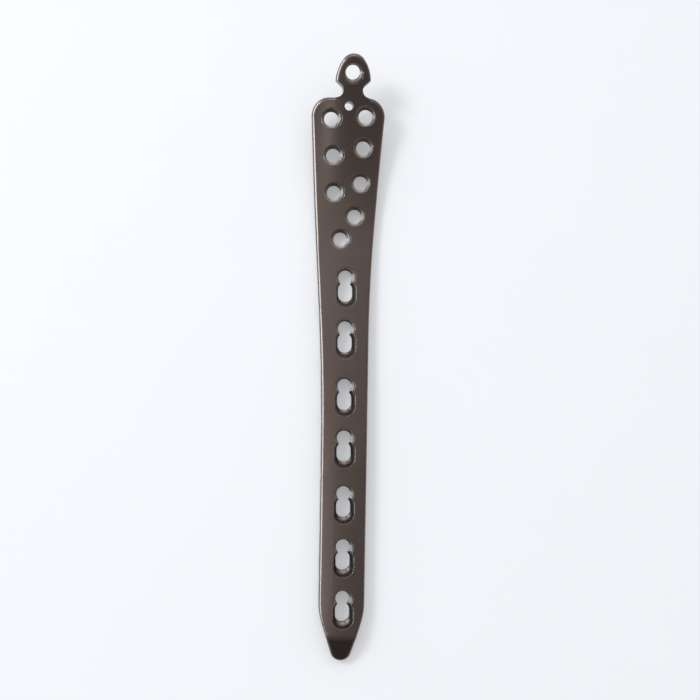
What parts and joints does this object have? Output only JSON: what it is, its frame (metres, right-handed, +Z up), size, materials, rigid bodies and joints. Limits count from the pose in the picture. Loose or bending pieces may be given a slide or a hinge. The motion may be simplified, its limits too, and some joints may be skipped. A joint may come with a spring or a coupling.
{
  "type": "orthopedic bone plate",
  "caption": "Bent and flared locking plate for the lower tibia, with a tab on a narrow neck, locking holes in its head and combination holes along its shaft.",
  "frame": {"origin": "centre of the bounding box's bottom, under the middle of the plate as it lies bone side down", "axes": "+X across the plate, +Y along it from the tip to the tab, +Z up through the top face"},
  "size_m": [0.0176, 0.1455, 0.013],
  "materials": {
    "anodised_titanium": "fine matt anodised titanium, dark warm grey"
  },
  "bodies": {
    "root": {"bone_plate": "anodised_titanium"}
  },
  "joints": []
}
